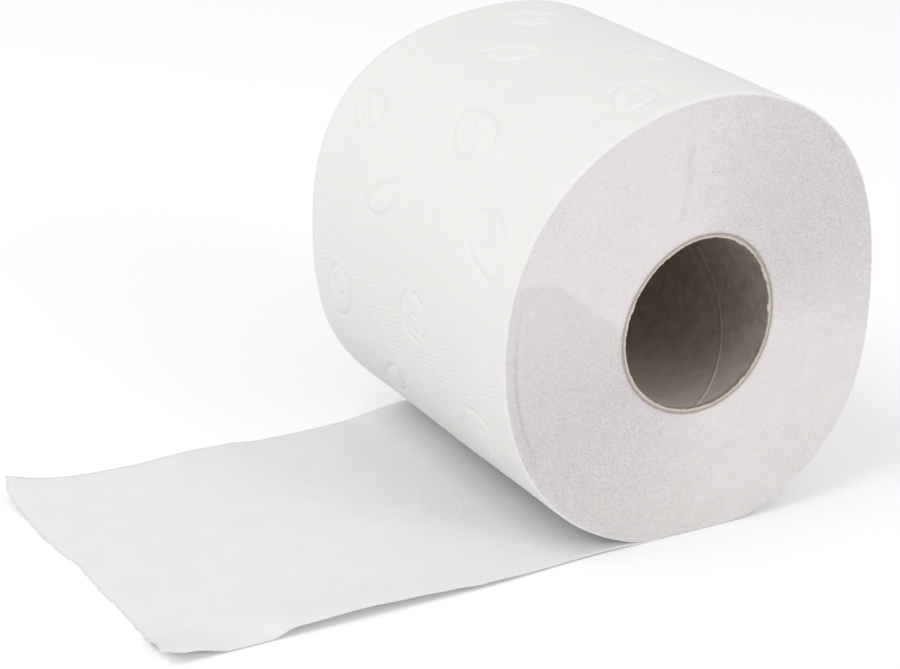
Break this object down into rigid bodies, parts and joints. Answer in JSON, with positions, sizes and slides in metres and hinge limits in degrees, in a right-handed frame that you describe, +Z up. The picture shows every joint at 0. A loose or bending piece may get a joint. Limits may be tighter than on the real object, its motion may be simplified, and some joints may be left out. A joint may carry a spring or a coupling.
{
  "type": "toilet paper roll",
  "caption": "Soft roll of white embossed toilet paper on a cardboard core, lying on its side with the loose end of the paper pulled out flat.",
  "frame": {"origin": "on the axis of the core's bore, halfway along it", "axes": "+Y along the core's axis, away from the cut end that faces the camera; +Z up, away from the flat spot that the roll rests on; the loose end of the paper lies towards -X"},
  "size_m": [0.1949, 0.094, 0.1128],
  "materials": {
    "tissue": "matte",
    "greyboard": "matte"
  },
  "bodies": {
    "root": {"tissue_roll": "tissue", "core_tube": "greyboard"}
  },
  "joints": []
}
